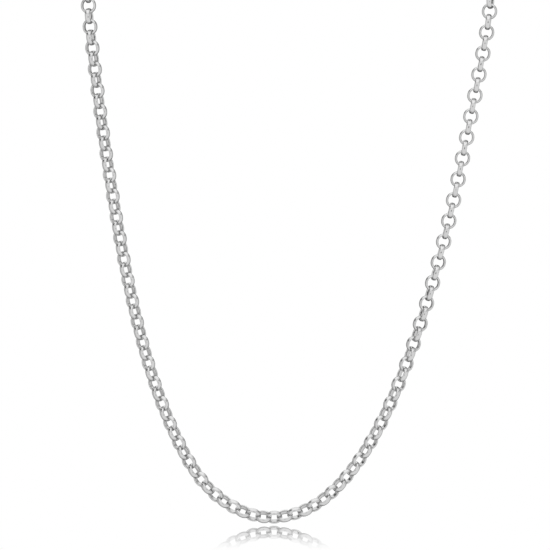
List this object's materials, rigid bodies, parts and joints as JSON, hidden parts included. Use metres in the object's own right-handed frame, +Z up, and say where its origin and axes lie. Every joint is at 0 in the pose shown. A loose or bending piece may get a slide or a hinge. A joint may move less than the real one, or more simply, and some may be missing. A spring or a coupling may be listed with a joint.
{
  "type": "rolo chain necklace",
  "caption": "Rolo chain necklace of round domed silver links that pass through each other, hanging in its worn U shape, closed at the nape by a plain ring clasp.",
  "frame": {"origin": "on the chain's middle line at the middle of the nape, where the neck carries the necklace", "axes": "+Z up, the front of the necklace faces -Y, +X is the picture's right"},
  "size_m": [0.1099, 0.031, 0.1631],
  "materials": {
    "chain_left": "polished silver",
    "chain_right": "polished silver",
    "clasp": "polished silver"
  },
  "bodies": {
    "root": {"chain_left": "chain_left", "chain_right": "chain_right", "clasp": "clasp"}
  },
  "joints": []
}
